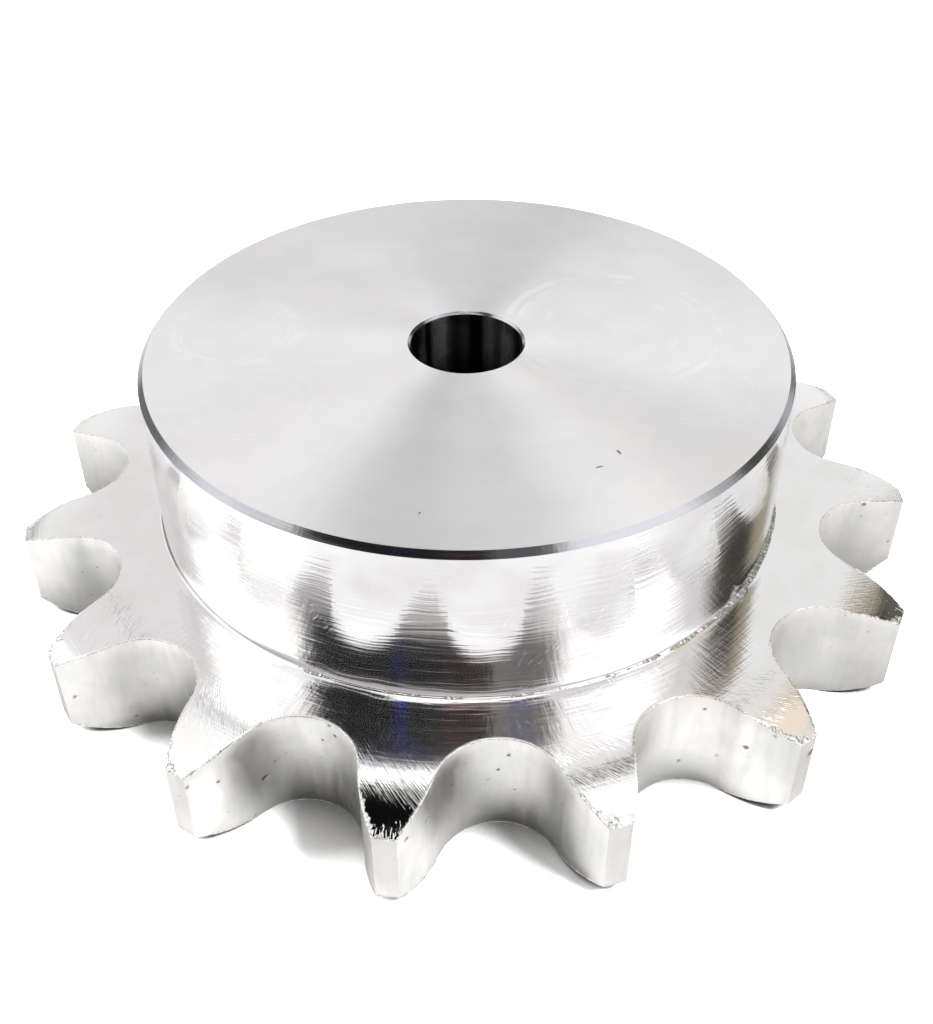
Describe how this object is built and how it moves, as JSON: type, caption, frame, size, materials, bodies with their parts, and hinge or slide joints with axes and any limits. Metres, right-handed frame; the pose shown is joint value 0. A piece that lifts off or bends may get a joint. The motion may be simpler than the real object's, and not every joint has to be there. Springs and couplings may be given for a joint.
{
  "type": "chain sprocket",
  "caption": "Toothed steel wheel for a roller chain, with a round hub on one side and a plain pilot bore.",
  "frame": {"origin": "where the chain line crosses the bore axis, half way through the teeth", "axes": "+Z along the bore axis, towards the hub's face; one tooth gap is centred on -Y"},
  "size_m": [0.1326, 0.1318, 0.04],
  "materials": {
    "steel": "turned and hobbed stainless steel, bright, with fine tool marks"
  },
  "bodies": {
    "root": {"sprocket": "steel"}
  },
  "joints": []
}
